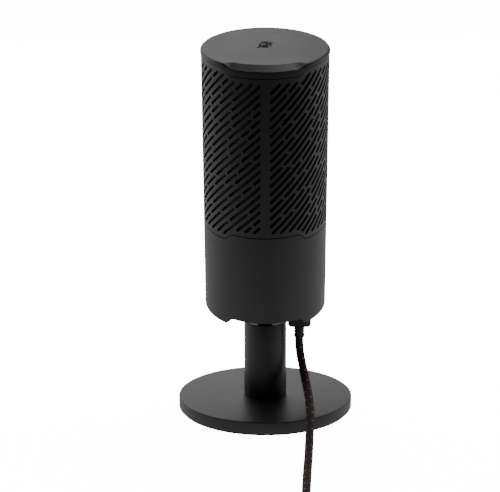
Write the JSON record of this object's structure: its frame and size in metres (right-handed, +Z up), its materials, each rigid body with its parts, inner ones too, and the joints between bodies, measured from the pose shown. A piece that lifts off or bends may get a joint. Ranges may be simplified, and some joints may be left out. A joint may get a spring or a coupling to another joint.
{
  "type": "desktop microphone",
  "caption": "Upright cylindrical desktop microphone with a slotted grille on a weighted round tilting stand, front dial, and a coiled braided data lead",
  "frame": {"origin": "the centre of the foot pad's underside, where the stand rests on the table", "axes": "+Z up, +Y out of the front, which carries the dial, +X to the right seen from behind the microphone, along the tilt axis"},
  "size_m": [0.1257, 0.2794, 0.2087],
  "materials": {
    "pad_rubber": "matte",
    "base_finish": "fine satin black coat",
    "post_finish": "satin black coat",
    "hinge_black": "black oxide",
    "bright_steel": "bright",
    "brass": "plain",
    "shell_plastic": "fine moulded texture",
    "grille_plastic": "fine moulded texture",
    "cap_plastic": "satin, soft touch",
    "mark_ink": "matte",
    "plate_plastic": "matte",
    "liner_foam": "open foam",
    "frame_plastic": "matte",
    "board_green": "solder mask",
    "ribbon_film": "film",
    "cradle_rubber": "matte",
    "capsule_metal": "plain",
    "socket_metal": "bright",
    "dial_plastic": "satin",
    "light_ring": "frosted",
    "plug_rubber": "matte",
    "braid": "black braid with red flecks"
  },
  "bodies": {
    "stand": {"foot_pad": "pad_rubber", "base_plate": "base_finish", "base_screw": "hinge_black", "base_screw_washer": "bright_steel", "stand_post": "post_finish", "post_anchor": "hinge_black", "hinge_tongue": "hinge_black", "lead": "braid", "lead_coil": "braid", "lead_tail": "braid", "computer_plug_boot": "plug_rubber", "computer_plug": "plug_rubber", "computer_plug_shell": "socket_metal"},
    "microphone": {"hinge_fork": "hinge_black", "bottom_screw_1": "hinge_black", "bottom_screw_2": "hinge_black", "bottom_screw_3": "hinge_black", "bottom_screw_4": "hinge_black", "hinge_bolt": "bright_steel", "hinge_nut": "bright_steel", "stand_bush": "bright_steel", "board_screw_left": "bright_steel", "board_screw_right": "bright_steel", "friction_washer_left": "brass", "friction_washer_right": "brass", "lower_shell": "shell_plastic", "grille": "grille_plastic", "top_cap": "cap_plastic", "mute_mark": "mark_ink", "bottom_plate": "plate_plastic", "dial_bezel": "plate_plastic", "headphone_jack": "plate_plastic", "foam_liner": "liner_foam", "inner_frame": "frame_plastic", "dial_encoder": "frame_plastic", "main_board": "board_green", "touch_board": "board_green", "dial_board": "board_green", "touch_ribbon": "ribbon_film", "capsule_cradle": "cradle_rubber", "front_capsule": "capsule_metal", "rear_capsule": "capsule_metal", "data_receptacle": "socket_metal", "lead_plug_tip": "socket_metal", "dial_light_ring": "light_ring", "lead_plug": "plug_rubber", "lead_boot": "plug_rubber"},
    "dial_press_collar": {"dial_collar": "brass"},
    "dial_knob": {"dial": "dial_plastic", "dial_shaft": "bright_steel"}
  },
  "joints": [
    {"name": "tilt", "type": "hinge", "parent": "stand", "child": "microphone", "pos_m": [0, 0, 0.068], "axis": [1, 0, 0], "range_deg": [-33.8, 6.2], "deforming": ["lead"]},
    {"name": "dial_press", "type": "slide", "parent": "microphone", "child": "dial_press_collar", "axis": [0, -0.9711, -0.2385], "range_m": [0, 0.0006], "stiffness_N_per_m": 1500},
    {"name": "dial_turn", "type": "hinge", "parent": "dial_press_collar", "child": "dial_knob", "pos_m": [0, 0.03067, 0.10496], "axis": [0, 0.9711, 0.2385], "continuous": true}
  ]
}
